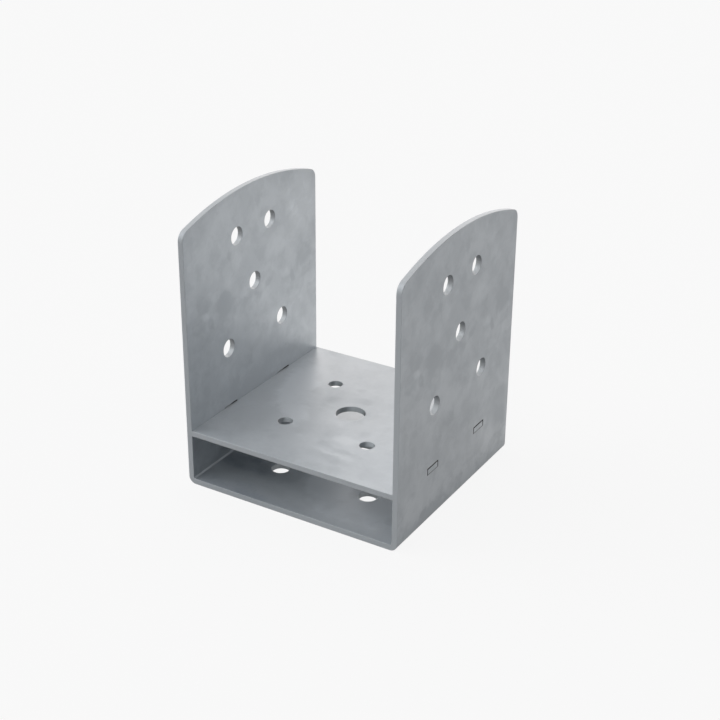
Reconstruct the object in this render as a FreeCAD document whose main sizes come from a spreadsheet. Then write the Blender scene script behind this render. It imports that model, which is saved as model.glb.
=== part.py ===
"""Timber post base: a folded steel bracket with a standoff plate hung in slots in its cheeks.

Frame in millimetres: X runs across the two cheeks, Y from the front (-Y) to the back, Z up.
The origin is the middle of the underside, the face that lies on the concrete.
"""
import FreeCAD, Part
import math
import os

import Sketcher

# Driving dimensions, written once. Heights are measured from the underside.
SIZES = {
    # the sheet and its two folds
    "sheet_thickness": 3.0,
    "inside_bend_radius": 1.0,
    "post_width": 120.0,             # clear distance between the cheeks
    "bracket_depth": 120.0,
    "crown_height": 150.0,           # top of the arched cheeks
    "crown_radius": 182.0,
    "shoulder_radius": 6.0,
    # bolt holes, the same five in each cheek
    "cheek_hole_diameter": 10.0,
    "low_pair_height": 65.0,
    "low_pair_pitch": 50.0,
    "middle_hole_height": 95.0,
    "high_pair_height": 125.0,
    "high_pair_pitch": 30.0,
    # holes in the base, for the anchors
    "anchor_hole_diameter": 10.0,
    "anchor_pitch_across": 54.0,
    "anchor_pitch_deep": 54.0,
    "base_opening_diameter": 40.0,
    # standoff plate, held by two tabs on each side
    "standoff_gap": 25.4,            # clear height between the base and the plate
    "plate_thickness": 3.0,
    "plate_side_clearance": 0.05,    # between the plate's edge and each cheek
    "tab_width": 10.0,
    "tab_pitch": 50.0,
    "slot_end_clearance": 0.45,      # at both ends of a tab, in its slot
    "slot_top_clearance": 0.55,      # above a tab; its underside rests on the slot
    # holes in the plate
    "plate_hole_diameter": 8.0,
    "plate_hole_pitch_across": 50.0,
    "plate_hole_pitch_deep": 50.0,
    "plate_opening_diameter": 16.0,
}
OVERSHOOT = 1.0                      # how far a cutting outline passes the sheet's edge
OUTER_WIDTH = "(sizes.post_width + 2 * sizes.sheet_thickness)"
PLATE_UNDERSIDE = "(sizes.sheet_thickness + sizes.standoff_gap)"

# What a sketch constraint can hold: a point of a line or an arc, or the sketch's own axes and origin
START, END, CENTRE = range(1, 4)
ACROSS_AXIS, UP_AXIS = range(-1, -3, -1)
ORIGIN = (ACROSS_AXIS, START)

doc = FreeCAD.newDocument("timber_post_base")
sheet = doc.addObject("Spreadsheet::Sheet", "sizes")
for row, (alias, value) in enumerate(SIZES.items(), start=1):
    sheet.set(f"A{row}", alias.replace("_", " "))
    sheet.set(f"B{row}", str(value))
    sheet.setAlias(f"B{row}", alias)
doc.recompute()


# Sketch helpers
def new_sketch(body, name, plane):
    """Empty sketch on one of the body's own origin planes."""
    sketch = body.newObject("Sketcher::SketchObject", name)
    support = [feature for feature in body.Origin.OriginFeatures if feature.Role == plane]
    sketch.AttachmentSupport = [(support[0], "")]
    sketch.MapMode = "FlatFace"
    return sketch


def constrain(sketch, name, *definition):
    """Add a constraint; the last item is its expression in the spreadsheet's sizes."""
    *geometry, value, expression = definition
    index = sketch.addConstraint(Sketcher.Constraint(*geometry, value))
    sketch.renameConstraint(index, name)
    sketch.setExpression(f"Constraints.{name}", expression)


def place(sketch, name, geometry, point, across, up):
    """Fix a point of the geometry at two expressions, across and up from the origin."""
    start = sketch.getPoint(geometry, point)
    constrain(sketch, f"{name}_across", "DistanceX", *ORIGIN, geometry, point, start.x, across)
    constrain(sketch, f"{name}_up", "DistanceY", *ORIGIN, geometry, point, start.y, up)


def add_circle(sketch, name, across, up, diameter):
    """Circle whose centre and diameter follow three expressions."""
    count = sketch.GeometryCount
    start = FreeCAD.Vector(10.0 * (count + 1), 10.0, 0)
    circle = sketch.addGeometry(Part.Circle(start, FreeCAD.Vector(0, 0, 1), 4.0))
    constrain(sketch, f"{name}_diameter", "Diameter", circle, 8.0, diameter)
    place(sketch, name, circle, CENTRE, across, up)


def add_outline(sketch, name, corners):
    """Closed loop of straight edges through corners that each follow two expressions."""
    turn = FreeCAD.Rotation(FreeCAD.Vector(0, 0, 1), 360.0 / len(corners))
    points = [FreeCAD.Vector(10, 0, 0)]
    while len(points) < len(corners):
        points.append(turn.multVec(points[-1]))
    edges = [sketch.addGeometry(Part.LineSegment(start, end))
             for start, end in zip(points, points[1:] + points[:1])]
    for index, edge in enumerate(edges):
        sketch.addConstraint(Sketcher.Constraint("Coincident", edges[index - 1], END, edge, START))
        place(sketch, f"{name}_{index}", edge, START, *corners[index])


def pad(body, name, sketch, length, side="One side"):
    feature = body.newObject("PartDesign::Pad", name)
    feature.Profile = sketch
    feature.SideType = side
    feature.setExpression("Length", length)
    return feature


def pocket_through(body, name, sketch):
    """Cut the sketch through everything, to both sides of its plane."""
    feature = body.newObject("PartDesign::Pocket", name)
    feature.Profile = sketch
    feature.SideType = "Symmetric"
    feature.Type = "ThroughAll"
    return feature


def rectangle_of_places(pitch_across, pitch_deep):
    """The four corners of a hole rectangle centred on the origin."""
    for across in ("-", ""):
        for deep in ("-", ""):
            yield f"{across}sizes.{pitch_across} / 2", f"{deep}sizes.{pitch_deep} / 2"


# Folded bracket
def fold_profile(body):
    """The sheet seen from the front: two cheeks, two bends of one radius and the base."""
    sketch = new_sketch(body, "fold_profile", "XZ_Plane")
    thick = SIZES["sheet_thickness"]
    inner = SIZES["inside_bend_radius"]
    outer = inner + thick
    half = SIZES["post_width"] / 2 + thick
    top = SIZES["crown_height"]
    bend = half - outer

    def edge(x0, z0, x1, z1):
        return sketch.addGeometry(Part.LineSegment(FreeCAD.Vector(x0, z0, 0), FreeCAD.Vector(x1, z1, 0)))

    def quarter(x, radius, quadrant):
        circle = Part.Circle(FreeCAD.Vector(x, outer, 0), FreeCAD.Vector(0, 0, 1), radius)
        start = quadrant * math.pi / 2
        return sketch.addGeometry(Part.ArcOfCircle(circle, start, start + math.pi / 2))

    left_outside = edge(-half, top, -half, outer)
    left_bend = quarter(-bend, outer, 2)
    underside = edge(-bend, 0, bend, 0)
    right_bend = quarter(bend, outer, 3)
    right_outside = edge(half, outer, half, top)
    right_top = edge(half, top, half - thick, top)
    right_inside = edge(half - thick, top, half - thick, outer)
    right_inner_bend = quarter(bend, inner, 3)
    floor = edge(bend, thick, -bend, thick)
    left_inner_bend = quarter(-bend, inner, 2)
    left_inside = edge(thick - half, outer, thick - half, top)
    left_top = edge(thick - half, top, -half, top)

    tangent_joins = [
        (left_outside, END, left_bend, START), (left_bend, END, underside, START),
        (underside, END, right_bend, START), (right_bend, END, right_outside, START),
        (right_inside, END, right_inner_bend, END), (right_inner_bend, START, floor, START),
        (floor, END, left_inner_bend, END), (left_inner_bend, START, left_inside, START),
    ]
    square_joins = [
        (right_outside, END, right_top, START), (right_top, END, right_inside, START),
        (left_inside, END, left_top, START), (left_top, END, left_outside, START),
        (left_bend, CENTRE, left_inner_bend, CENTRE),
        (right_bend, CENTRE, right_inner_bend, CENTRE),
    ]
    for join in tangent_joins:
        sketch.addConstraint(Sketcher.Constraint("Tangent", *join))
    for join in square_joins:
        sketch.addConstraint(Sketcher.Constraint("Coincident", *join))
    for upright in (left_outside, right_outside, left_inside, right_inside):
        sketch.addConstraint(Sketcher.Constraint("Vertical", upright))
    for level in (underside, left_top, right_top):
        sketch.addConstraint(Sketcher.Constraint("Horizontal", level))
    sketch.addConstraint(Sketcher.Constraint("Equal", left_bend, right_bend))
    sketch.addConstraint(Sketcher.Constraint("Equal", left_inner_bend, right_inner_bend))
    sketch.addConstraint(Sketcher.Constraint("PointOnObject", underside, START, ACROSS_AXIS))
    sketch.addConstraint(Sketcher.Constraint(
        "Symmetric", left_outside, START, right_outside, END, UP_AXIS))
    constrain(sketch, "inner_bend", "Radius", right_inner_bend, inner, "sizes.inside_bend_radius")
    constrain(sketch, "outer_bend", "Radius", right_bend, outer,
              "sizes.inside_bend_radius + sizes.sheet_thickness")
    constrain(sketch, "outer_width", "DistanceX", left_outside, START, right_outside, END,
              2 * half, OUTER_WIDTH)
    constrain(sketch, "height", "DistanceY", *ORIGIN, right_outside, END, top,
              "sizes.crown_height")
    return sketch


def crown_profile(body):
    """Everything above the arched top of the cheeks, seen from the side."""
    sketch = new_sketch(body, "crown_profile", "YZ_Plane")
    radius = SIZES["crown_radius"]
    crest = SIZES["crown_height"]
    reach = SIZES["bracket_depth"] / 2 + OVERSHOOT
    spring = crest - radius + (radius ** 2 - reach ** 2) ** 0.5
    left = FreeCAD.Vector(-reach, spring, 0)
    right = FreeCAD.Vector(reach, spring, 0)
    rise = FreeCAD.Vector(0, crest + OVERSHOOT - spring, 0)
    arch = sketch.addGeometry(Part.Arc(right, FreeCAD.Vector(0, crest, 0), left))
    sides = [sketch.addGeometry(Part.LineSegment(start, end))
             for start, end in ((left, left + rise), (left + rise, right + rise), (right + rise, right))]
    for start, end in ((arch, sides[0]), (sides[0], sides[1]), (sides[1], sides[2]), (sides[2], arch)):
        sketch.addConstraint(Sketcher.Constraint("Coincident", start, END, end, START))
    sketch.addConstraint(Sketcher.Constraint("Vertical", sides[0]))
    sketch.addConstraint(Sketcher.Constraint("Horizontal", sides[1]))
    sketch.addConstraint(Sketcher.Constraint("Vertical", sides[2]))
    constrain(sketch, "crown_radius", "Radius", arch, radius, "sizes.crown_radius")
    place(sketch, "arch_centre", arch, CENTRE, "0", "sizes.crown_height - sizes.crown_radius")
    constrain(sketch, "reach_back", "DistanceX", *ORIGIN, arch, START, reach,
              f"sizes.bracket_depth / 2 + {OVERSHOOT}")
    constrain(sketch, "reach_front", "DistanceX", arch, END, *ORIGIN, reach,
              f"sizes.bracket_depth / 2 + {OVERSHOOT}")
    constrain(sketch, "over_the_top", "DistanceY", *ORIGIN, sides[1], START, crest + OVERSHOOT,
              f"sizes.crown_height + {OVERSHOOT}")
    return sketch


def shoulder_edges(feature):
    """The four short edges across the sheet where the arch meets the front and back edges."""
    half_depth = SIZES["bracket_depth"] / 2
    names = []
    for index, edge in enumerate(feature.Shape.Edges, start=1):
        box = edge.BoundBox
        runs_across = box.YLength < 1e-6 and box.ZLength < 1e-6
        at_an_end = abs(abs(box.YMin) - half_depth) < 1e-6
        above_the_plate = box.ZMin > SIZES["sheet_thickness"] + SIZES["standoff_gap"]
        if runs_across and at_an_end and above_the_plate:
            names.append(f"Edge{index}")
    return names


def cheek_holes(body):
    """Five bolt holes per cheek: a wide pair low, one in the middle and a narrow pair high."""
    sketch = new_sketch(body, "cheek_holes", "YZ_Plane")
    places = [("middle", "0", "sizes.middle_hole_height")]
    for pair in ("low", "high"):
        places.append((f"{pair}_front", f"-sizes.{pair}_pair_pitch / 2", f"sizes.{pair}_pair_height"))
        places.append((f"{pair}_back", f"sizes.{pair}_pair_pitch / 2", f"sizes.{pair}_pair_height"))
    for name, along, height in places:
        add_circle(sketch, name, along, height, "sizes.cheek_hole_diameter")
    return sketch


def tab_slots(body):
    """Two slots per cheek; each takes a tab of the plate, which rests on the slot's floor."""
    sketch = new_sketch(body, "tab_slots", "YZ_Plane")
    half_length = "(sizes.tab_width / 2 + sizes.slot_end_clearance)"
    roof = f"{PLATE_UNDERSIDE} + sizes.plate_thickness + sizes.slot_top_clearance"
    for name, middle in (("front", "-sizes.tab_pitch / 2"), ("back", "sizes.tab_pitch / 2")):
        start, end = f"{middle} - {half_length}", f"{middle} + {half_length}"
        corners = [(start, PLATE_UNDERSIDE), (end, PLATE_UNDERSIDE), (end, roof), (start, roof)]
        add_outline(sketch, name, corners)
    return sketch


def base_holes(body):
    """Four anchor holes at the corners of a rectangle round one large opening."""
    sketch = new_sketch(body, "base_holes", "XY_Plane")
    add_circle(sketch, "opening", "0", "0", "sizes.base_opening_diameter")
    for index, (across, deep) in enumerate(rectangle_of_places("anchor_pitch_across", "anchor_pitch_deep")):
        add_circle(sketch, f"anchor_{index}", across, deep, "sizes.anchor_hole_diameter")
    return sketch


def pocket_base(body, name, sketch):
    """Cut upwards from the underside, through the sheet and no further."""
    feature = body.newObject("PartDesign::Pocket", name)
    feature.Profile = sketch
    feature.Reversed = True
    feature.setExpression("Length", "sizes.sheet_thickness")
    return feature


def u_bracket():
    body = doc.addObject("PartDesign::Body", "u_bracket")
    body.Label = "u_bracket"
    pad(body, "folded_sheet", fold_profile(body), "sizes.bracket_depth", side="Symmetric")
    arched = pocket_through(body, "arched_cheeks", crown_profile(body))
    doc.recompute()
    shoulders = body.newObject("PartDesign::Fillet", "rounded_shoulders")
    shoulders.Base = (arched, shoulder_edges(arched))
    shoulders.setExpression("Radius", "sizes.shoulder_radius")
    pocket_through(body, "drilled_cheeks", cheek_holes(body))
    pocket_through(body, "slotted_cheeks", tab_slots(body))
    pocket_base(body, "drilled_base", base_holes(body))
    return body


# Standoff plate
def plate_outline(body):
    """A rectangle just clear of the cheeks and as deep as they are, with two tabs on each side.

    The tabs end flush with the cheeks' outsides.
    """
    sketch = new_sketch(body, "plate_outline", "XY_Plane")
    sketch.setExpression("AttachmentOffset.Base.z", PLATE_UNDERSIDE)
    edge = "(sizes.post_width / 2 - sizes.plate_side_clearance)"
    tip = f"{OUTER_WIDTH} / 2"
    right_side = [(edge, "-sizes.bracket_depth / 2")]
    for middle in ("-sizes.tab_pitch / 2", "sizes.tab_pitch / 2"):
        start, end = f"{middle} - sizes.tab_width / 2", f"{middle} + sizes.tab_width / 2"
        right_side += [(edge, start), (tip, start), (tip, end), (edge, end)]
    right_side.append((edge, "sizes.bracket_depth / 2"))
    left_side = [(f"-{across}", deep) for across, deep in reversed(right_side)]
    add_outline(sketch, "corner", right_side + left_side)
    return sketch


def plate_holes(body):
    """Four screw holes at the corners of a rectangle round one larger opening."""
    sketch = new_sketch(body, "plate_holes", "XY_Plane")
    add_circle(sketch, "opening", "0", "0", "sizes.plate_opening_diameter")
    places = rectangle_of_places("plate_hole_pitch_across", "plate_hole_pitch_deep")
    for index, (across, deep) in enumerate(places):
        add_circle(sketch, f"screw_{index}", across, deep, "sizes.plate_hole_diameter")
    return sketch


def standoff_plate():
    body = doc.addObject("PartDesign::Body", "standoff_plate")
    body.Label = "standoff_plate"
    pad(body, "flat_plate", plate_outline(body), "sizes.plate_thickness")
    pocket_through(body, "drilled_plate", plate_holes(body))
    return body


bodies = [u_bracket(), standoff_plate()]
doc.recompute()

# Nothing is written unless every object is sound
for item in doc.Objects:
    if "Invalid" in item.State or "Error" in item.State:
        raise RuntimeError(f"{item.Name} did not compute: {item.State}")
for body in bodies:
    if body.Shape.isNull() or not body.Shape.isValid() or len(body.Shape.Solids) != 1:
        raise RuntimeError(f"{body.Label} is not one sound solid")

os.makedirs("parts", exist_ok=True)
for body in bodies:
    body.Shape.exportStep(f"parts/{body.Label}.step")
    box = body.Shape.BoundBox
    print(f"{body.Label}: {box.XLength:.2f} x {box.YLength:.2f} x {box.ZLength:.2f} mm, "
          f"{body.Shape.Volume / 1000:.2f} cubic centimetres")
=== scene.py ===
"""Looks for a galvanised timber post base: the zinc on its two sheets, a pale studio and the camera."""
import math

import bpy
from bpy.props import FloatProperty, FloatVectorProperty, PointerProperty
from mathutils import Euler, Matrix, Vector

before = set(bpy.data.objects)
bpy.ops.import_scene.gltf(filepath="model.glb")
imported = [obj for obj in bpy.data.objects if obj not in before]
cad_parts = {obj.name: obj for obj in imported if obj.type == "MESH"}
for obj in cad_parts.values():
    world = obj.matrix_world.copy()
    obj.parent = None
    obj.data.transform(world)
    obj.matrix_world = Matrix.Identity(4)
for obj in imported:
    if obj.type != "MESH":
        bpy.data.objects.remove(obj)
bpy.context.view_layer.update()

bl_info = {
    "name": "Galvanised Post Base",
    "version": (1, 0, 0),
    "blender": (4, 5, 0),
    "location": "3D View > Sidebar > Post Base",
    "description": "Finishes a folded steel post base in cloudy zinc and sets it in a pale studio",
    "category": "Material",
}


# Shader expressions
class Signal:
    """One output of a shader graph; arithmetic on it adds the Math nodes behind the result."""

    def __init__(self, graph, socket):
        self.graph = graph
        self.socket = socket

    def __add__(self, other):
        return self.graph.math("ADD", self, other)

    def __radd__(self, other):
        return self.graph.math("ADD", other, self)

    def __sub__(self, other):
        return self.graph.math("SUBTRACT", self, other)

    def __rsub__(self, other):
        return self.graph.math("SUBTRACT", other, self)

    def __mul__(self, other):
        return self.graph.math("MULTIPLY", self, other)

    def __rmul__(self, other):
        return self.graph.math("MULTIPLY", other, self)

    def __pow__(self, other):
        return self.graph.math("POWER", self, other)

    def __rpow__(self, other):
        return self.graph.math("POWER", other, self)


class Graph:
    """A node tree that grows one node at a time from its type, settings and socket values."""

    def __init__(self, tree):
        self.tree = tree
        tree.nodes.clear()

    def node(self, kind, settings=None, sockets=None, output=0):
        """Add a node, set it up, feed its sockets, and return the output asked for."""
        made = self.tree.nodes.new(kind)
        for name, value in (settings or {}).items():
            setattr(made, name, value)
        for name, value in (sockets or {}).items():
            if isinstance(value, Signal):
                self.tree.links.new(value.socket, made.inputs[name])
            else:
                made.inputs[name].default_value = value
        return Signal(self, made.outputs[output]) if made.outputs else made

    def math(self, operation, *values):
        """Arithmetic on single values."""
        return self.node("ShaderNodeMath", {"operation": operation}, dict(enumerate(values)))

    def vector(self, operation, *values, output="Vector"):
        """Arithmetic on vectors."""
        return self.node("ShaderNodeVectorMath", {"operation": operation}, dict(enumerate(values)), output)

    def split(self, vector):
        """The three components of a vector."""
        return [self.node("ShaderNodeSeparateXYZ", None, {0: vector}, axis) for axis in range(3)]

    def join(self, x, y, z):
        """A vector from three components."""
        return self.node("ShaderNodeCombineXYZ", None, {0: x, 1: y, 2: z})

    def blend(self, share, first, second):
        """One colour into another by a share from 0 to 1; a fixed colour is red, green and blue."""
        ends = [end if isinstance(end, Signal) else (*end, 1.0) for end in (first, second)]
        return self.node("ShaderNodeMix", {"data_type": "RGBA"}, {0: share, 6: ends[0], 7: ends[1]}, 2)

    def blend_vectors(self, share, first, second):
        """One vector into another by a share from 0 to 1."""
        return self.node("ShaderNodeMix", {"data_type": "VECTOR"}, {0: share, 4: first, 5: second}, 1)

    def ease(self, value, low, high):
        """0 below low, 1 above high, and a smooth rise between them."""
        return self.node("ShaderNodeMapRange", {"interpolation_type": "SMOOTHSTEP"},
                         {"Value": value, "From Min": low, "From Max": high})

    def noise(self, place, size, detail=2.0, roughness=0.5):
        """Soft noise from 0 to 1 whose blotches are about as large as size, in metres."""
        return self.node("ShaderNodeTexNoise", {"noise_dimensions": "3D"},
                         {"Vector": place, "Scale": 1.0 / size, "Detail": detail, "Roughness": roughness})


def new_material(name):
    """An empty material and the graph that fills it."""
    material = bpy.data.materials.new(name)
    material.use_nodes = True
    return material, Graph(material.node_tree)


# What a user may change
class PostBaseZinc(bpy.types.PropertyGroup):
    """The zinc coat that both sheets share."""
    clean_colour: FloatVectorProperty(
        name="Clean Zinc", description="Colour of the coat between its clouds",
        subtype="COLOR", size=3, min=0.0, max=1.0, default=(0.588, 0.624, 0.654))
    # Also the colour of the painted light from the light-and-shade tables and the plate's marks
    bright_patch_and_light_colour: FloatVectorProperty(
        name="Bright Zinc", description="Colour of the brightest patches of the coat",
        subtype="COLOR", size=3, min=0.0, max=1.0, default=(0.705, 0.745, 0.780))
    # Also the colour of the painted shade from the light-and-shade tables
    cloud_and_shade_colour: FloatVectorProperty(
        name="Clouds", description="Colour at the heart of the darker clouds",
        subtype="COLOR", size=3, min=0.0, max=1.0, default=(0.470, 0.505, 0.535))
    # Mostly the colour of the deepest painted shade on the base, and also of the deepest stains
    stain_and_shade_colour: FloatVectorProperty(
        name="Stain", description="Colour of the deepest stains",
        subtype="COLOR", size=3, min=0.0, max=1.0, default=(0.265, 0.30, 0.35))
    cut_colour: FloatVectorProperty(
        name="Cut Faces", description="Colour of the duller zinc on sawn edges and in the bolt holes",
        subtype="COLOR", size=3, min=0.0, max=1.0, default=(0.53, 0.555, 0.575))
    # Painted light: the walls of the holes are drawn paler, as if lit, and this is also the lit foot of a
    # cheek hole's wall
    hole_light_colour: FloatVectorProperty(
        name="Hole Walls", description="Colour of the thick zinc inside the holes of the level sheets",
        subtype="COLOR", size=3, min=0.0, max=1.0, default=(0.68, 0.71, 0.73))
    # Painted highlight: the rounded cut edges are drawn in this paler colour
    edge_highlight_colour: FloatVectorProperty(
        name="Edges", description="Colour of the thicker zinc on the sheet's corners",
        subtype="COLOR", size=3, min=0.0, max=1.0, default=(0.62, 0.64, 0.66))
    hole_shade: FloatVectorProperty(
        name="Hole Shade", description="Colour of the upper, shaded part of a hole's wall in a cheek",
        subtype="COLOR", size=3, min=0.0, max=1.0, default=(0.33, 0.34, 0.35))
    # Painted highlight along the inside of each bend
    bend_highlight_colour: FloatVectorProperty(
        name="Bend Line", description="Colour of the pale line along the inside of each bend",
        subtype="COLOR", size=3, min=0.0, max=1.0, default=(0.90, 0.925, 0.95))
    # Painted shadow: the gaps round the tabs, the slots' rims, the seams under the tabs and the sides of
    # the plate's holes take this colour
    gap_shadow_colour: FloatVectorProperty(
        name="Gaps", description="Colour deep in the narrow gaps round the tabs",
        subtype="COLOR", size=3, min=0.0, max=1.0, default=(0.012, 0.013, 0.014))
    # Painted shadow along the seam where a tab rests on its slot
    seam_shadow_width: FloatProperty(
        name="Seam Width", description="Width of the dark seam where a tab rests on its slot",
        subtype="DISTANCE", unit="LENGTH", min=0.0, default=0.0004)
    # Painted shade: the foot of each cheek is drawn darker near the floor, up to this height
    foot_shade_height: FloatProperty(
        name="Foot Stain Height", description="How far up the cheeks the darker foot reaches",
        subtype="DISTANCE", unit="LENGTH", min=0.002, default=0.016)
    cloud_size: FloatProperty(
        name="Cloud Size", description="How wide the clouds are",
        subtype="DISTANCE", unit="LENGTH", min=0.001, default=0.024)
    patch_size: FloatProperty(
        name="Patch Size", description="How wide the patches inside the clouds are",
        subtype="DISTANCE", unit="LENGTH", min=0.0005, default=0.009)
    mottle_size: FloatProperty(
        name="Mottle Size", description="How wide the finest mottling is",
        subtype="DISTANCE", unit="LENGTH", min=0.0002, default=0.003)
    gloss_roughness: FloatProperty(
        name="Roughness", description="Roughness of the clean coat",
        subtype="FACTOR", min=0.0, max=1.0, default=0.34)
    ripple_size: FloatProperty(
        name="Ripple Size", description="How far apart the faint ripples of the coat are",
        subtype="DISTANCE", unit="LENGTH", min=0.0002, default=0.0035)
    ripple_depth: FloatProperty(
        name="Ripple Depth", description="How deep the faint ripples are",
        subtype="DISTANCE", unit="LENGTH", min=0.0, default=0.00001)
    edge_radius: FloatProperty(
        name="Edge Radius", description="How far the zinc rounds the sheet's cut edges",
        subtype="DISTANCE", unit="LENGTH", min=0.0, default=0.0005)


class PostBaseStudio(bpy.types.PropertyGroup):
    """Floor, light and camera."""
    floor_colour: FloatVectorProperty(
        name="Floor", description="Colour of the pale floor in the studio's light",
        subtype="COLOR", size=3, min=0.0, max=1.0, default=(0.73, 0.73, 0.73))
    backdrop_level: FloatProperty(
        name="Backdrop Level", description="How bright the floor and backdrop look; 1 is white",
        subtype="FACTOR", min=0.0, max=1.0, default=0.962)
    floor_width: FloatProperty(
        name="Floor Width", description="Side of the square floor",
        subtype="DISTANCE", unit="LENGTH", min=0.5, default=8.0)
    pool_level: FloatProperty(
        name="Pool Level", description="How much brighter the floor gleams behind the bracket",
        min=0.0, default=1.45)
    glow_level: FloatProperty(
        name="Glow Level", description="Brightness of all the soft glows round the bracket",
        min=0.0, default=1.6)
    glow_width: FloatProperty(
        name="Glow Width", description="How far each glow spreads, as an angle from its middle",
        subtype="ANGLE", unit="ROTATION", min=0.05, max=1.5, default=0.34)
    front_colour: FloatVectorProperty(
        name="Front Light", description="Colour of the light that comes from before the bracket",
        subtype="COLOR", size=3, min=0.0, max=1.0, default=(0.962, 0.981, 1.0))
    rear_colour: FloatVectorProperty(
        name="Rear Light", description="Colour of the light that comes from behind the bracket",
        subtype="COLOR", size=3, min=0.0, max=1.0, default=(1.0, 0.955, 0.93))
    camera_distance: FloatProperty(
        name="Camera Distance", description="From the middle of the underside to the camera",
        subtype="DISTANCE", unit="LENGTH", min=0.1, default=0.76804)
    focal_length: FloatProperty(
        name="Focal Length", description="Focal length of the lens in millimetres",
        subtype="DISTANCE_CAMERA", min=1.0, default=70.706)


# The zinc coat, with its painted light and shade
# Where the finish looks for its features: the start and end of a soft step, in metres from the middle.
# The plate lies 28.4 to 31.4 mm up, and the slots reach 31.95 mm. Each tab is 10 mm wide and 25 mm fore or
# aft of the middle, and each slot is 0.45 mm longer at both ends. The cheeks stand 60 to 63 mm out.
MIDDLE = (-0.01, 0.01)
ABOVE_BASE = (0.020, 0.025)
ABOVE_PLATE = (0.0330, 0.0335)
INSIDE_OUTLINE = (0.0585, 0.0588)
CHEEK_HOLES_SIDE = (0.0360, 0.0370)
CHEEK_HOLES_TOP = (0.1315, 0.1320)
PLATE_BORDER = (0.0590, 0.0594)
CHEEK_SKIN = (0.0601, 0.0603)
CHEEK_INSIDE = (0.05995, 0.06005)
CHEEK_OUTSIDE = (0.0622, 0.0626)
SLOT_FLOOR = (0.0280, 0.0283)
SLOT_CEILING = (0.0322, 0.0327)
SLOT_END = (0.0056, 0.0058)
SLOT_RIM = (0.0320, 0.0323)
SLOT_LIT_END = (-0.026, -0.0225)
TAB_TOP = (0.0316, 0.0318)
TAB_SIDE = (0.0051, 0.0053)
SEAM_END = (0.0049, 0.0053)
TAB_OFFSET = 0.025
TAB_UNDERSIDE = 0.0284

# Where a face counts as turned to the side, to the front or back, and up or down: steps in its normal.
# The last three are the turn in a bend, across a rounded edge and from a hole's top to its foot.
FACES_SIDE = (0.35, 0.85)
FACES_FRONT = (0.5, 0.8)
FACES_UP = (0.3, 0.6)
BEND_TURN = (0.08, 0.38)
EDGE_TURN = (0.004, 0.12)
HOLE_TURN = (-0.6, 1.1)

# Where the clouds' noise starts on each piece and on its level faces, so that no two repeat each other
BRACKET_SEED, PLATE_SEED, LEVEL_SEED = 0.11, 0.53, 0.7

# The drift that makes the clouds wander, its size and reach as shares of the cloud size, and the steps that
# part broad clouds and patches from the noise
DRIFT_SIZE, DRIFT_REACH = 0.55, 0.35
BROAD_STEP = (0.40, 0.62)
PATCH_STEP = (0.45, 0.62)

# Weights of the three sizes of cloud. Level faces have an even haze under paler clouds, and the foot of the
# cheeks gets painted shade up to a line that the clouds make ragged, start and raggedness in metres. Below
# no cloud, where light marks and painted light reach, the coat turns bright, and on level faces the deepest
# cloud and the painted shade turn to the stain colour.
BROAD_WEIGHT, PATCH_WEIGHT, FINE_WEIGHT = 0.40, 0.24, 0.34
LEVEL_HAZE = 0.16
LEVEL_CONTRAST = 0.8
LEVEL_DEPTH = 0.75
FOOT_SHADE = 0.75
FOOT_START = 0.001
FOOT_RAGGEDNESS = 0.010
BRIGHT_PATCH_AND_LIGHT_STEP = (0.0, 0.7)
STAIN_AND_SHADE_STEP = (1.1, 2.4)

# A mark is whole out to the first share of its half size and gone at the second, and patches mottle it
MARK_FADE = (0.45, 1.45)
MARK_BODY, MARK_MOTTLE = 0.45, 0.9

# The painted shadow of the seam fades out between these shares of its width, above and below the tab's
# underside
SEAM_FADE = (0.25, 0.75)

# How far each layer covers the coat under it
CUT_COVER = 0.8
EDGE_HIGHLIGHT_COVER = 0.3
BEND_HIGHLIGHT_COVER = 0.5
HOLE_LIGHT_COVER = 0.65
HOLE_SIDE_SHADE_COVER = 0.35
SLOT_RIM_COVER = 0.95
SEAM_COVER = 0.85
LIT_END_SHARE = 0.75

# How much each layer adds to the roughness, and the metal share of the coat and of cut faces
CLOUD_DULLING = 0.09
LEVEL_DULLING = 0.06
CUT_DULLING = 0.10
EDGE_POLISH = 0.05
COAT_METAL = 0.5
CUT_METAL_LOSS = 0.2

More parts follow.
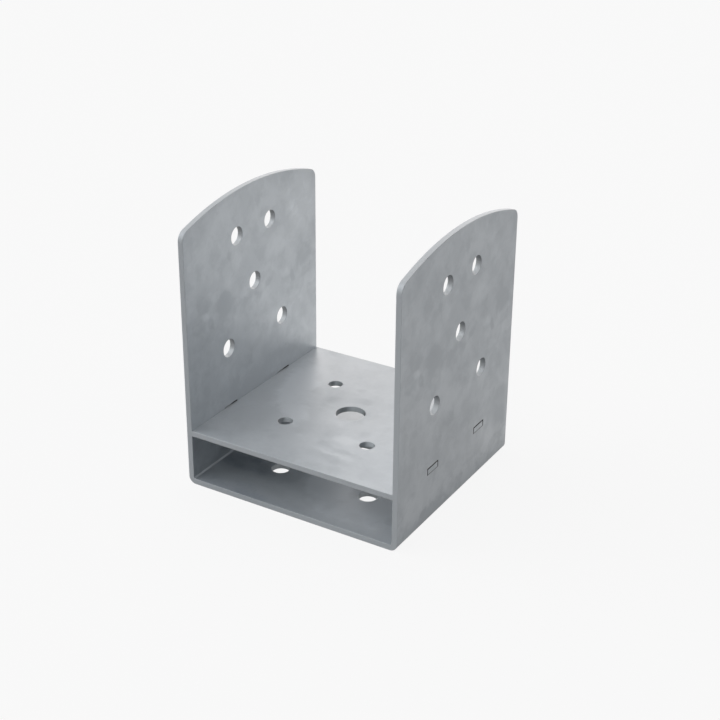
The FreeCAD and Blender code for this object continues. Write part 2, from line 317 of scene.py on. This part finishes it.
# Marks and shades in the coat: middle on the sheet's plane and half sizes in metres,
# turn in degrees, strength. Positive strength is dark and negative is light.
# Marks wander and mottle with the clouds round them, and shades have plain soft outlines. The cheek marks
# are the coat's own blotches, the shades are painted light and painted shade, and the plate's marks are
# partly the coat's blotches and partly painted light and shade.
CHEEK_MARKS = (
    ((-0.028, 0.092), (0.0075, 0.0080), 10, 0.80),
    ((-0.046, 0.098), (0.0065, 0.0045), -10, 0.45),
    ((-0.050, 0.086), (0.0060, 0.0050), 0, 0.40),
    ((-0.040, 0.085), (0.0025, 0.0040), 20, 0.60),
    ((0.048, 0.095), (0.0075, 0.0055), -15, 0.75),
    ((0.036, 0.086), (0.0022, 0.0042), 15, 0.70),
    ((0.049, 0.084), (0.0050, 0.0030), 0, 0.40),
    ((0.027, 0.097), (0.0075, 0.0065), -5, 0.32),
    ((0.012, 0.089), (0.0022, 0.0020), 0, 0.45),
    ((0.003, 0.085), (0.0040, 0.0022), 0, 0.35),
    ((-0.011, 0.085), (0.0080, 0.0035), 5, 0.28),
    ((-0.022, 0.117), (0.0022, 0.0032), 0, 0.35),
    ((0.037, 0.132), (0.0055, 0.0035), 10, 0.18),
    ((0.046, 0.060), (0.0040, 0.0055), 0, 0.40),
    ((-0.055, 0.059), (0.0030, 0.0070), 0, 0.30),
    ((-0.045, 0.048), (0.0030, 0.0045), 10, 0.30),
    ((-0.014, 0.051), (0.0100, 0.0045), -5, 0.30),
    ((0.000, 0.059), (0.0045, 0.0110), 20, -0.20),
    ((-0.003, 0.078), (0.0110, 0.0100), 0, 0.35),
    ((-0.044, 0.090), (0.0035, 0.0030), 0, -0.55),
    ((0.019, 0.108), (0.0100, 0.0050), -10, -0.35),
    ((0.029, 0.090), (0.0035, 0.0030), 0, -0.40),
)
# Painted light and shade on the left cheek
LEFT_CHEEK_LIGHT_AND_SHADE = (
    ((0.020, 0.037), (0.0500, 0.0110), 0, 0.60),
    ((0.002, 0.062), (0.0150, 0.0160), 0, 0.25),
    ((0.047, 0.127), (0.0140, 0.0160), 0, -0.80),
    ((0.040, 0.083), (0.0160, 0.0100), 0, 0.30),
    ((0.024, 0.057), (0.0100, 0.0080), 0, 0.40),
    ((-0.014, 0.075), (0.0080, 0.0060), 0, 0.22),
    ((0.022, 0.036), (0.0140, 0.0060), 0, -0.35),
    ((-0.046, 0.015), (0.0200, 0.0110), 0, -0.50),
    ((-0.055, 0.100), (0.0060, 0.0350), 0, -0.22),
    ((-0.005, 0.135), (0.0450, 0.0220), 0, -0.26),
)
# Painted shade and light on the right cheek
RIGHT_CHEEK_LIGHT_AND_SHADE = (
    ((-0.036, 0.132), (0.0180, 0.0140), 0, 0.30),
    ((0.038, 0.105), (0.0160, 0.0140), 0, 0.22),
    ((0.002, 0.067), (0.0090, 0.0090), 0, 0.30),
    ((0.050, 0.020), (0.0080, 0.0100), 0, 0.45),
    ((0.048, 0.033), (0.0140, 0.0120), 0, 0.70),
    ((0.008, 0.048), (0.0220, 0.0100), 0, 0.36),
    ((-0.038, 0.045), (0.0180, 0.0140), 0, -0.22),
    ((0.046, 0.126), (0.0100, 0.0120), 0, -0.25),
    ((0.000, 0.090), (0.0600, 0.0450), 0, 0.12),
    ((0.000, 0.012), (0.0700, 0.0220), 0, -0.28),
)
# Partly the coat's own blotches and partly painted light and shade; the broad light marks lighten the
# plate's left half
PLATE_MARKS_AND_PAINTED_LIGHT = (
    ((0.006, -0.035), (0.0045, 0.0028), -15, 0.45),
    ((0.017, -0.037), (0.0070, 0.0020), -12, 0.42),
    ((0.026, -0.038), (0.0045, 0.0020), 0, 0.35),
    ((0.014, -0.046), (0.0130, 0.0032), -5, 0.45),
    ((-0.013, -0.030), (0.0045, 0.0030), 0, 0.30),
    ((-0.020, -0.042), (0.0030, 0.0025), 0, 0.30),
    ((-0.028, -0.038), (0.0025, 0.0020), 0, 0.30),
    ((-0.008, 0.026), (0.0028, 0.0024), 0, 0.40),
    ((-0.002, 0.015), (0.0055, 0.0032), 10, 0.40),
    ((-0.017, 0.009), (0.0045, 0.0040), 0, 0.35),
    ((-0.040, 0.008), (0.0026, 0.0085), 25, 0.12),
    ((-0.028, 0.012), (0.0026, 0.0045), 15, 0.30),
    ((0.003, -0.023), (0.0060, 0.0050), 0, 0.35),
    ((0.018, -0.016), (0.0030, 0.0035), 0, 0.35),
    ((0.008, -0.005), (0.0032, 0.0035), 0, 0.30),
    ((0.013, -0.026), (0.0065, 0.0040), 10, -0.45),
    ((0.015, -0.0415), (0.0120, 0.0014), -4, -0.45),
    ((-0.020, -0.017), (0.0065, 0.0045), 0, -0.30),
    ((-0.002, -0.012), (0.0055, 0.0035), 0, -0.30),
    ((-0.048, -0.056), (0.0140, 0.0070), 0, 0.35),
    ((0.044, -0.047), (0.0140, 0.0120), 0, 0.30),
    ((-0.010, 0.048), (0.0200, 0.0090), 0, -0.20),
    ((-0.050, -0.006), (0.0150, 0.0400), 0, -0.75),
    ((-0.020, -0.028), (0.0160, 0.0240), 0, -0.70),
    ((-0.039, 0.012), (0.0120, 0.0380), 22, -1.05),
    ((-0.057, 0.050), (0.0070, 0.0100), 0, -0.50),
    ((-0.005, -0.039), (0.0080, 0.0090), 0, -0.40),
    ((0.019, -0.056), (0.0110, 0.0040), 0, 0.40),
    ((-0.036, 0.017), (0.0050, 0.0060), 0, -0.35),
    ((0.009, 0.002), (0.0060, 0.0060), 0, 0.30),
)
# Painted light and shade on the base
BASE_LIGHT_AND_SHADE = (
    ((-0.034, -0.056), (0.0340, 0.0110), 0, 0.97),
    ((-0.046, -0.032), (0.0200, 0.0100), 0, 1.30),
    ((-0.024, -0.036), (0.0100, 0.0070), 0, 0.58),
    ((0.015, -0.060), (0.0500, 0.0060), 0, 0.36),
    ((0.026, -0.045), (0.0300, 0.0140), 0, -1.01),
    ((0.004, -0.028), (0.0140, 0.0110), 0, -1.30),
    ((0.036, -0.031), (0.0120, 0.0110), 0, -1.15),
    ((-0.028, 0.044), (0.0180, 0.0120), 0, -0.58),
    ((-0.039, -0.056), (0.0190, 0.0080), 0, 0.22),
    ((0.057, -0.033), (0.0060, 0.0110), 0, 0.35),
)


def wander(graph, place, size, reach):
    """A place pushed sideways by soft noise, so that what is drawn there gets a wandering outline."""
    drift = graph.node("ShaderNodeTexNoise", {"noise_dimensions": "3D"},
                       {"Vector": place, "Scale": 1.0 / size, "Detail": 4.0, "Roughness": 0.6}, "Color")
    centred = graph.vector("SUBTRACT", drift, (0.5, 0.5, 0.5))
    return graph.vector("MULTIPLY_ADD", centred, (reach, reach, 0.0), place)


def hand_marks(graph, place, marks):
    """Sum of soft-edged marks on a plane, each with its own place, size, turn and strength."""
    total = 0.0
    for (across, up), (half_width, half_height), turn, strength in marks:
        local = graph.node("ShaderNodeMapping", {"vector_type": "TEXTURE"}, {
            "Vector": place, "Location": (across, up, 0.0),
            "Rotation": (0.0, 0.0, math.radians(turn)), "Scale": (half_width, half_height, 1.0)})
        reach = graph.vector("LENGTH", local, output="Value")
        total = total + strength * (1 - graph.ease(reach, *MARK_FADE))
    return total


def clouds_on_plane(graph, across, up, zinc, seed, depth, marks):
    """Share of dark cloud over one plane of the sheet: about 0 where it is clean, 1 where it is darkest."""
    drift = (DRIFT_SIZE * zinc.cloud_size, DRIFT_REACH * zinc.cloud_size)
    flat = wander(graph, graph.join(across, up, seed), *drift)
    broad = graph.noise(flat, zinc.cloud_size, detail=4.0, roughness=0.60)
    patches = graph.noise(flat, zinc.patch_size, detail=3.0, roughness=0.60)
    fine = graph.noise(flat, zinc.mottle_size, detail=3.0, roughness=0.65)
    soft = BROAD_WEIGHT * graph.ease(broad, *BROAD_STEP) + PATCH_WEIGHT * graph.ease(patches, *PATCH_STEP)
    cloud = depth * (soft + FINE_WEIGHT * fine)
    # Marks; on the plate some of them are painted light and shade
    if marks:
        level = graph.vector("MULTIPLY", flat, (1.0, 1.0, 0.0))
        cloud = cloud + (MARK_BODY + MARK_MOTTLE * patches) * hand_marks(graph, level, marks)
    return cloud


def upright_clouds_and_painted_light(graph, x, y, z, zinc, seed, marks, left_light_and_shade, right_light_and_shade):
    """Share of dark cloud on upright faces, which share their marks; each cheek adds its own painted light
    and shade.
    """
    clouds = clouds_on_plane(graph, y, z, zinc, seed, 1.0, marks)
    if left_light_and_shade or right_light_and_shade:
        side = graph.join(y, z, 0.0)
        on_right = graph.ease(x, *MIDDLE)
        clouds = clouds + on_right * hand_marks(graph, side, right_light_and_shade)
        clouds = clouds + (1 - on_right) * hand_marks(graph, side, left_light_and_shade)
    return clouds


def level_clouds_and_painted_light(graph, x, y, zinc, seed, marks, light_and_shade):
    """Share of dark cloud on level faces, with the given painted light and shade added."""
    clouds = LEVEL_HAZE + LEVEL_CONTRAST * clouds_on_plane(graph, x, y, zinc, seed, LEVEL_DEPTH, marks)
    if light_and_shade:
        clouds = clouds + hand_marks(graph, graph.join(x, y, 0.0), light_and_shade)
    return clouds


def slot_band(graph, z):
    """1 at the height of the slots, 0 above and below them."""
    return graph.ease(z, *SLOT_FLOOR) * (1 - graph.ease(z, *SLOT_CEILING))


def tab_gaps(graph, x, y, z, on_cheek, zinc):
    """Share of shadow round the tabs: deep in the gaps, on the slots' rims and along the seams below."""
    out, along = graph.math("ABSOLUTE", x), graph.math("ABSOLUTE", y)
    from_tab = graph.math("ABSOLUTE", along - TAB_OFFSET)
    in_slot = (1 - graph.ease(from_tab, *SLOT_END)) * slot_band(graph, z)

    # In the left cheek, light reaches the front end of both slots; shifted lays one slot on the other
    shifted = y - 2 * TAB_OFFSET * graph.ease(y, *MIDDLE)
    lit_end = (1 - graph.ease(x, *MIDDLE)) * (1 - graph.ease(shifted, *SLOT_LIT_END))
    shade = 1 - LIT_END_SHARE * lit_end

    deep = in_slot * graph.ease(out, *CHEEK_INSIDE) * (1 - on_cheek) * shade
    past_tab = graph.math("MAXIMUM", graph.ease(z, *TAB_TOP), graph.ease(from_tab, *TAB_SIDE))
    rim = in_slot * past_tab * (1 - graph.ease(z, *SLOT_RIM)) * on_cheek * shade
    from_seam = graph.math("ABSOLUTE", z - TAB_UNDERSIDE)
    resting = 1 - graph.ease(from_seam, *(share * zinc.seam_shadow_width for share in SEAM_FADE))
    seam = resting * (1 - graph.ease(from_tab, *SEAM_END)) * on_cheek * graph.ease(out, *CHEEK_OUTSIDE)
    return deep + SLOT_RIM_COVER * rim + SEAM_COVER * seam


def zinc_material(name, zinc, seed, cheek_drawing, level_drawing):
    """Hot-dip zinc: satin grey with soft darker clouds and dull cut edges, with painted shadow round the
    tabs and painted light, shade and highlights.

    cheek_drawing holds the marks of both cheeks and the painted light and shade of the left one and of the
    right one, and level_drawing the marks and the painted light and shade of the level sheet.
    """
    material, graph = new_material(name)
    x, y, z = graph.split(graph.node("ShaderNodeTexCoord", output="Object"))
    out, along = graph.math("ABSOLUTE", x), graph.math("ABSOLUTE", y)
    facing = graph.node("ShaderNodeNewGeometry", output="Normal")
    facing_x, facing_y, facing_z = graph.split(facing)
    on_cheek = graph.ease(graph.math("ABSOLUTE", facing_x), *FACES_SIDE)
    off_cheek = 1 - on_cheek

    upright = upright_clouds_and_painted_light(graph, x, y, z, zinc, seed, *cheek_drawing)
    level = level_clouds_and_painted_light(graph, x, y, zinc, seed + LEVEL_SEED, *level_drawing)
    # Painted shade at the foot of the cheeks, up to a ragged line
    foot = 1 - graph.ease(z - FOOT_RAGGEDNESS * upright, FOOT_START, zinc.foot_shade_height)
    clouds = (upright + FOOT_SHADE * foot) * on_cheek + level * off_cheek

    # Sawn and punched faces: the front and back edges, the arches and the walls of the holes
    fore_or_aft = graph.ease(graph.math("ABSOLUTE", facing_y), *FACES_FRONT)
    above_plate = graph.ease(z, *ABOVE_PLATE)
    cut = graph.math("MAXIMUM", fore_or_aft, above_plate) * off_cheek
    not_level = 1 - graph.ease(graph.math("ABSOLUTE", facing_z), *FACES_UP)
    hole_wall = not_level * (1 - graph.ease(graph.math("MAXIMUM", out, along), *INSIDE_OUTLINE))
    # Painted shade on the sideways-facing ends of the walls of the plate's holes
    hole_side_shade = hole_wall * on_cheek * graph.ease(z, *ABOVE_BASE)
    near_holes = (1 - graph.ease(along, *CHEEK_HOLES_SIDE)) * (1 - graph.ease(z, *CHEEK_HOLES_TOP))
    # Walls of the cheeks' holes, which get painted light and shade
    cheek_hole_light_and_shade = above_plate * off_cheek * near_holes
    # Painted highlight inside each bend, where a face turns between side and up
    bend_highlight = graph.ease(graph.math("ABSOLUTE", facing_x) * facing_z, *BEND_TURN)

    # Zinc rounds every cut edge, except where the plate's border all but touches a cheek
    bevelled = graph.node("ShaderNodeBevel", {"samples": 6}, {"Radius": zinc.edge_radius})
    touching = graph.ease(out, *PLATE_BORDER) * (1 - graph.ease(out, *CHEEK_SKIN)) * slot_band(graph, z)
    rounded = graph.blend_vectors(touching, bevelled, facing)
    turned = graph.vector("DOT_PRODUCT", rounded, facing, output="Value")
    edge = graph.ease(1 - turned, *EDGE_TURN)

    # The clouds carry painted light and shade as well as the coat's mottling: painted shade goes to the
    # cloud and stain colours, painted light to the bright colour
    colour = graph.blend(clouds, zinc.clean_colour, zinc.cloud_and_shade_colour)
    colour = graph.blend(graph.ease(-1 * clouds, *BRIGHT_PATCH_AND_LIGHT_STEP), colour, zinc.bright_patch_and_light_colour)
    colour = graph.blend(graph.ease(level, *STAIN_AND_SHADE_STEP) * off_cheek, colour, zinc.stain_and_shade_colour)
    colour = graph.blend(CUT_COVER * cut, colour, zinc.cut_colour)
    # Painted highlight along the rounded cut edges
    colour = graph.blend(EDGE_HIGHLIGHT_COVER * edge, colour, zinc.edge_highlight_colour)
    # Painted highlight inside the bends
    colour = graph.blend(BEND_HIGHLIGHT_COVER * bend_highlight, colour, zinc.bend_highlight_colour)
    # Painted light on the walls of the holes in the plate and the base
    colour = graph.blend(hole_wall, colour, zinc.hole_light_colour)
    # Painted light and shade on the walls of the cheeks' holes: painted shade at the top, painted light
    # towards the foot
    lit_wall = HOLE_LIGHT_COVER * graph.ease(facing_z, *HOLE_TURN)
    colour = graph.blend(cheek_hole_light_and_shade, colour, graph.blend(lit_wall, zinc.hole_shade, zinc.hole_light_colour))
    # Painted shadow round the tabs and painted shade on the sides of the plate's holes
    shadow = tab_gaps(graph, x, y, z, on_cheek, zinc) + HOLE_SIDE_SHADE_COVER * hole_side_shade
    colour = graph.blend(shadow, colour, zinc.gap_shadow_colour)

    dulling = CLOUD_DULLING * graph.math("MAXIMUM", clouds, 0.0) + LEVEL_DULLING * off_cheek
    roughness = zinc.gloss_roughness + dulling + CUT_DULLING * cut - EDGE_POLISH * edge
    ripples = graph.noise(graph.join(x, y, z), zinc.ripple_size, detail=3.0, roughness=0.55)
    normal = graph.node("ShaderNodeBump", None, {
        "Strength": 1.0, "Distance": zinc.ripple_depth, "Height": ripples, "Normal": rounded})
    surface = graph.node("ShaderNodeBsdfPrincipled", None, {
        "Base Color": colour, "Metallic": COAT_METAL - CUT_METAL_LOSS * cut,
        "Roughness": roughness, "Normal": normal})
    graph.node("ShaderNodeOutputMaterial", None, {"Surface": surface})
    return material


def finish_node(name, material):
    """Give a CAD node its finish through its own material slot."""
    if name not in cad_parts:
        raise RuntimeError(f"the model has no piece named {name}")
    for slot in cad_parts[name].material_slots:
        slot.material = material


class POSTBASE_OT_finish_bracket(bpy.types.Operator):
    """Finish the folded bracket in cloudy zinc"""
    bl_idname = "postbase.finish_bracket"
    bl_label = "Finish Folded Bracket"

    def execute(self, context):
        zinc = context.scene.post_base_zinc
        cheek_drawing = (CHEEK_MARKS, LEFT_CHEEK_LIGHT_AND_SHADE, RIGHT_CHEEK_LIGHT_AND_SHADE)
        coat = zinc_material("bracket_zinc", zinc, BRACKET_SEED, cheek_drawing, ((), BASE_LIGHT_AND_SHADE))
        finish_node("u_bracket", coat)
        return {"FINISHED"}


class POSTBASE_OT_finish_plate(bpy.types.Operator):
    """Finish the standoff plate in cloudy zinc"""
    bl_idname = "postbase.finish_plate"
    bl_label = "Finish Standoff Plate"

    def execute(self, context):
        zinc = context.scene.post_base_zinc
        coat = zinc_material("plate_zinc", zinc, PLATE_SEED, ((), (), ()), (PLATE_MARKS_AND_PAINTED_LIGHT, ()))
        finish_node("standoff_plate", coat)
        return {"FINISHED"}


# Studio
CAMERA_PLACE = (0.34398, -0.56686, 0.38624)
CAMERA_PITCH = -0.43051
CAMERA_TURN = 0.55781
CAMERA_ROLL = 0.00054
CAMERA_SHIFT = (0.03503, -0.04532)
# Soft glows of the studio: heading in degrees (0 is behind the bracket, 90 to its right), height, strength.
GLOWS = (
    (0, 90, 0.10),
    (0, 8, 1.35),
    (0, 52, 0.42),
    (270, 8, 0.80),
    (315, 8, 1.40),
    (337, 30, 0.30),
    (292, 30, 0.30),
    (67, 30, 0.92),
    (247, 30, 2.10),
    (144, 52, 0.45),
    (216, 52, 0.95),
    (155, 8, 0.56),
)
DOME_IN_GLOSS = 0.05            # share of the backdrop's level in what shiny faces see of the dome
REAR_LIGHT = (-0.5, 0.8)        # where the front light's colour turns into the rear light's, front to back

# Floor: how much of its even tone the camera and shiny faces see, and how much soft light it swallows
EVEN_TONE = 0.93
EVEN_TONE_IN_GLOSS = 0.315
SWALLOWED = 0.93
GLEAM_TO_RIGHT = (0.02, 0.14)   # where the gleam behind the bracket ends towards the right, in metres
GLEAM_FROM_FRONT = (0.02, 0.12)
GLEAM_TINT = (1.0, 0.97, 0.94)
FLOOR_DROP = 0.0002             # keeps the floor just clear of the underside


def build_floor(studio):
    """Pale floor that shows one even tone and keeps a faint shadow of the bracket."""
    half = studio.floor_width / 2
    mesh = bpy.data.meshes.new("floor")
    corners = [(-half, -half, 0.0), (half, -half, 0.0), (half, half, 0.0), (-half, half, 0.0)]
    mesh.from_pydata(corners, [], [(0, 1, 2, 3)])
    floor = bpy.data.objects.new("floor", mesh)
    floor.location.z = -FLOOR_DROP
    bpy.context.scene.collection.objects.link(floor)

    material, graph = new_material("pale_floor")
    camera_ray = graph.node("ShaderNodeLightPath", output="Is Camera Ray")
    glossy_ray = graph.node("ShaderNodeLightPath", output="Is Glossy Ray")
    clear_ray = graph.node("ShaderNodeLightPath", output="Is Transmission Ray")
    soft_ray = graph.node("ShaderNodeLightPath", output="Is Diffuse Ray")
    x, y, _ = graph.split(graph.node("ShaderNodeTexCoord", output="Object"))
    gleam = (1 - graph.ease(x, *GLEAM_TO_RIGHT)) * graph.ease(y, *GLEAM_FROM_FRONT) * glossy_ray
    tone = graph.join(*(1 + studio.pool_level * tint * gleam for tint in GLEAM_TINT))
    shown = graph.node("ShaderNodeEmission", None, {"Color": tone, "Strength": studio.backdrop_level})
    lit = graph.node("ShaderNodeBsdfDiffuse", None, {"Color": (*studio.floor_colour, 1.0)})
    dark = graph.node("ShaderNodeBsdfDiffuse", None, {"Color": (0.0, 0.0, 0.0, 1.0)})
    share = EVEN_TONE * (camera_ray + clear_ray) + EVEN_TONE_IN_GLOSS * glossy_ray
    surface = graph.node("ShaderNodeMixShader", None, {0: share, 1: lit, 2: shown})
    surface = graph.node("ShaderNodeMixShader", None, {0: SWALLOWED * soft_ray, 1: surface, 2: dark})
    graph.node("ShaderNodeOutputMaterial", None, {"Surface": surface})
    mesh.materials.append(material)


def build_dome(studio):
    """Studio light from all round: a few broad soft glows, and the pale backdrop behind them."""
    world = bpy.data.worlds.new("studio_dome")
    world.use_nodes = True
    bpy.context.scene.world = world
    graph = Graph(world.node_tree)
    direction = graph.node("ShaderNodeTexCoord", output="Generated")
    sharpness = math.log(0.5) / math.log(math.cos(studio.glow_width))
    light = 0.0
    for heading, height, strength in GLOWS:
        turn, lift = math.radians(heading), math.radians(height)
        middle = (math.sin(turn) * math.cos(lift), math.cos(turn) * math.cos(lift), math.sin(lift))
        facing = graph.vector("DOT_PRODUCT", direction, middle, output="Value")
        light = light + studio.glow_level * strength * graph.math("MAXIMUM", facing, 0.0) ** sharpness
    camera_ray = graph.node("ShaderNodeLightPath", output="Is Camera Ray")
    glossy_ray = graph.node("ShaderNodeLightPath", output="Is Glossy Ray")
    clear_ray = graph.node("ShaderNodeLightPath", output="Is Transmission Ray")
    share = camera_ray + clear_ray + DOME_IN_GLOSS * glossy_ray
    strength = light * (1 - share) + studio.backdrop_level * share
    behind = graph.ease(graph.split(direction)[1], *REAR_LIGHT)
    tint = graph.blend(behind, studio.front_colour, studio.rear_colour)
    tint = graph.blend(camera_ray + clear_ray, tint, (1.0, 1.0, 1.0))
    background = graph.node("ShaderNodeBackground", None, {"Color": tint, "Strength": strength})
    graph.node("ShaderNodeOutputWorld", None, {"Surface": background})


def build_camera(studio):
    """Camera at the photograph's viewing angle."""
    data = bpy.data.cameras.new("camera")
    data.lens = studio.focal_length
    data.shift_x, data.shift_y = CAMERA_SHIFT
    data.clip_start = 0.01
    camera = bpy.data.objects.new("camera", data)
    camera.location = Vector(CAMERA_PLACE).normalized() * studio.camera_distance
    camera.rotation_euler = Euler((math.pi / 2 + CAMERA_PITCH, CAMERA_ROLL, CAMERA_TURN))
    bpy.context.scene.collection.objects.link(camera)
    bpy.context.scene.camera = camera


class POSTBASE_OT_build_studio(bpy.types.Operator):
    """Build the floor, the studio light and the camera"""
    bl_idname = "postbase.build_studio"
    bl_label = "Build Studio"

    def execute(self, context):
        studio = context.scene.post_base_studio
        context.scene.view_settings.view_transform = "Standard"
        build_floor(studio)
        build_dome(studio)
        build_camera(studio)
        return {"FINISHED"}


class POSTBASE_PT_sidebar(bpy.types.Panel):
    """Post base finish and studio"""
    bl_idname = "POSTBASE_PT_sidebar"
    bl_label = "Post Base"
    bl_space_type = "VIEW_3D"
    bl_region_type = "UI"
    bl_category = "Post Base"

    def draw(self, context):
        scene = context.scene
        for title, group in (("Zinc", scene.post_base_zinc), ("Studio", scene.post_base_studio)):
            box = self.layout.box()
            box.label(text=title)
            for name in group.__annotations__:
                box.prop(group, name)
        for operator in OPERATORS:
            self.layout.operator(operator.bl_idname)


OPERATORS = (POSTBASE_OT_finish_bracket, POSTBASE_OT_finish_plate, POSTBASE_OT_build_studio)
CLASSES = (PostBaseZinc, PostBaseStudio, *OPERATORS, POSTBASE_PT_sidebar)


def register():
    for cls in CLASSES:
        bpy.utils.register_class(cls)
    bpy.types.Scene.post_base_zinc = PointerProperty(type=PostBaseZinc)
    bpy.types.Scene.post_base_studio = PointerProperty(type=PostBaseStudio)


def unregister():
    del bpy.types.Scene.post_base_studio
    del bpy.types.Scene.post_base_zinc
    for cls in reversed(CLASSES):
        bpy.utils.unregister_class(cls)


def main():
    register()
    bpy.ops.postbase.finish_bracket()
    bpy.ops.postbase.finish_plate()
    bpy.ops.postbase.build_studio()


if __name__ == "__main__":
    main()
